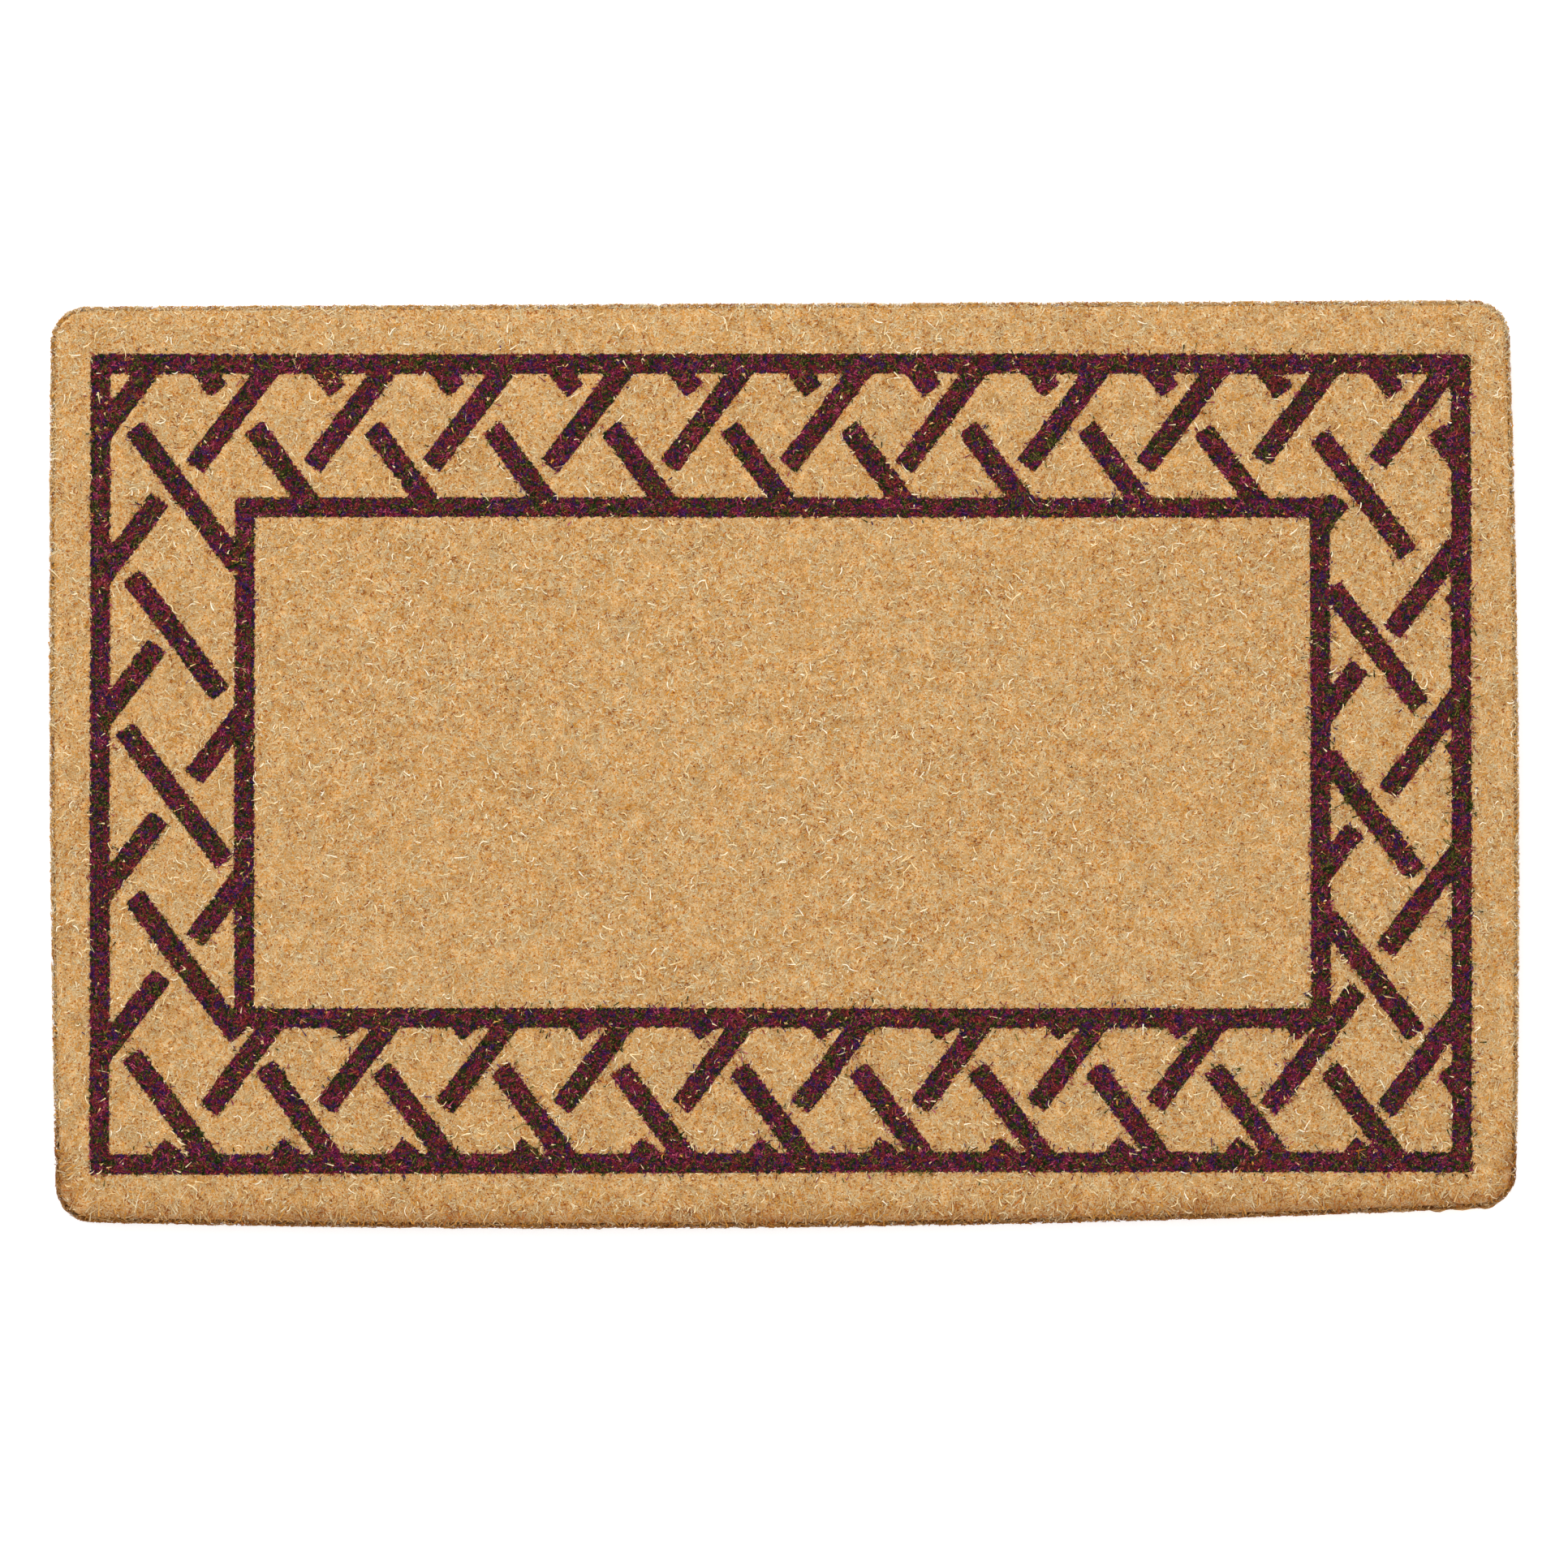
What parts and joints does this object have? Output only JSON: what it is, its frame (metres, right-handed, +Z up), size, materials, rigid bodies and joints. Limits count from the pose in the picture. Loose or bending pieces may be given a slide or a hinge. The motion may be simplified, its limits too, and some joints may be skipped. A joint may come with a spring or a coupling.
{
  "type": "door mat",
  "caption": "Rectangular coir door mat: brush pile on a woven backing with a sewn edge braid, stencilled with a dark trellis border round a plain panel.",
  "frame": {"origin": "under the middle of the mat, on the floor it lies on", "axes": "+X along the long side, +Y towards the back edge, +Z up out of the pile"},
  "size_m": [0.914, 0.572, 0.038],
  "materials": {
    "natural_coir": "matte brush pile",
    "dyed_coir": "matte dyed brush pile",
    "coir_yarn": "coarse spun yarn",
    "coir_braid": "coarse plaited yarn",
    "twine": "tarred twine"
  },
  "bodies": {
    "root": {"braid_back": "coir_braid", "braid_front": "coir_braid", "braid_left": "coir_braid", "braid_right": "coir_braid", "centre_tufts": "natural_coir", "chain_yarns": "coir_yarn", "ground_tufts_back": "natural_coir", "ground_tufts_front": "natural_coir", "ground_tufts_left": "natural_coir", "ground_tufts_right": "natural_coir", "heading_left": "coir_yarn", "heading_right": "coir_yarn", "margin_tufts_back": "natural_coir", "margin_tufts_front": "natural_coir", "margin_tufts_left": "natural_coir", "margin_tufts_right": "natural_coir", "outline_tufts_back": "dyed_coir", "outline_tufts_front": "dyed_coir", "outline_tufts_left": "dyed_coir", "outline_tufts_right": "dyed_coir", "panel_line_tufts_back": "dyed_coir", "panel_line_tufts_front": "dyed_coir", "panel_line_tufts_left": "dyed_coir", "panel_line_tufts_right": "dyed_coir", "selvedge_cord_back": "coir_yarn", "selvedge_cord_front": "coir_yarn", "sewing_twine": "twine", "trellis_tufts_back": "dyed_coir", "trellis_tufts_front": "dyed_coir", "trellis_tufts_left": "dyed_coir", "trellis_tufts_right": "dyed_coir", "weft_yarns_lower": "coir_yarn", "weft_yarns_upper": "coir_yarn"}
  },
  "joints": []
}
